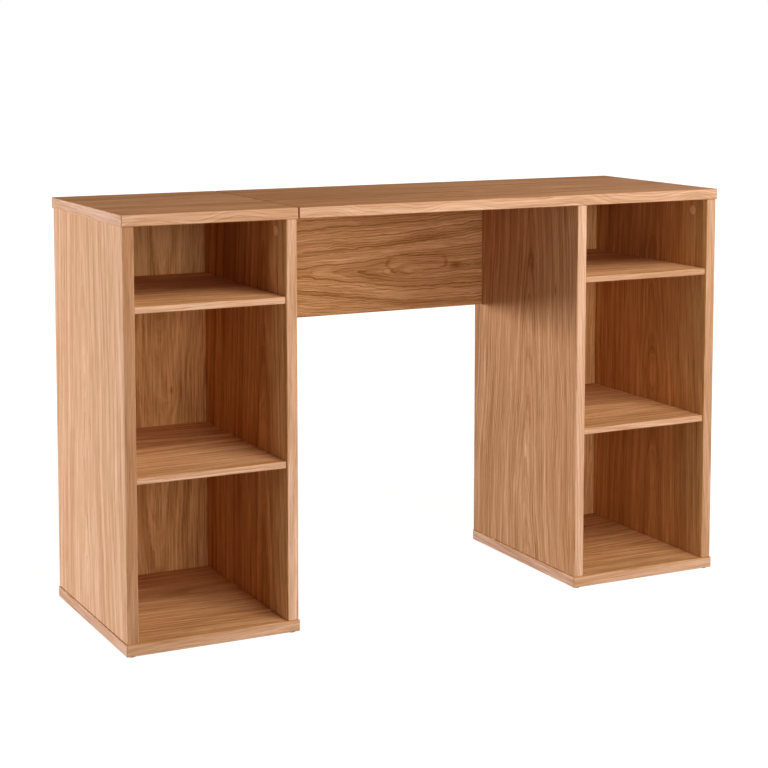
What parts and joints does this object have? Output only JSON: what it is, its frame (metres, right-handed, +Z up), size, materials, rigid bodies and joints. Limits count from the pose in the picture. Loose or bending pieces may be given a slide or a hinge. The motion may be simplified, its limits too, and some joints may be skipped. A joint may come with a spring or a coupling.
{
  "type": "storage desk",
  "caption": "Storage desk with an open shelf tower at each end, a split top, a knee space with a modesty panel, and knock-down cam joinery.",
  "frame": {"origin": "on the floor, under the middle of the desk's width and depth", "axes": "+X to the right along the width, +Y to the back, +Z up"},
  "size_m": [1.206, 0.392, 0.75],
  "materials": {
    "board": "brown oak-look laminate on particle board, satin",
    "back_board": "thin fibre board with a printed oak-look face",
    "cover": "wood-coloured cap",
    "glide": "dark brown moulded glide",
    "dowel": "plain beech",
    "zinc": "bright zinc plate"
  },
  "bodies": {
    "root": {"left_top": "board", "main_top": "board", "left_outer_side": "board", "left_inner_side": "board", "right_inner_side": "board", "right_outer_side": "board", "left_base": "board", "right_base": "board", "left_upper_shelf": "board", "left_lower_shelf": "board", "right_upper_shelf": "board", "right_lower_shelf": "board", "modesty_panel": "board", "left_back_panel": "back_board", "left_cam_locks": "zinc", "left_cam_bolts": "zinc", "left_cam_covers": "cover", "left_top_dowels": "dowel", "left_base_screws": "zinc", "left_upper_shelf_pins": "zinc", "left_lower_shelf_pins": "zinc", "left_back_nails": "zinc", "left_glides": "glide", "right_back_panel": "back_board", "right_cam_locks": "zinc", "right_cam_bolts": "zinc", "right_cam_covers": "cover", "right_top_dowels": "dowel", "right_base_screws": "zinc", "right_upper_shelf_pins": "zinc", "right_lower_shelf_pins": "zinc", "right_back_nails": "zinc", "right_glides": "glide", "modesty_cam_locks": "zinc", "modesty_cam_bolts": "zinc", "modesty_cam_covers": "cover", "modesty_end_dowels": "dowel", "modesty_top_dowels": "dowel", "seam_dowels": "dowel", "front_bracket": "zinc", "rear_bracket": "zinc", "bracket_side_screws": "zinc", "bracket_top_screws": "zinc"}
  },
  "joints": []
}
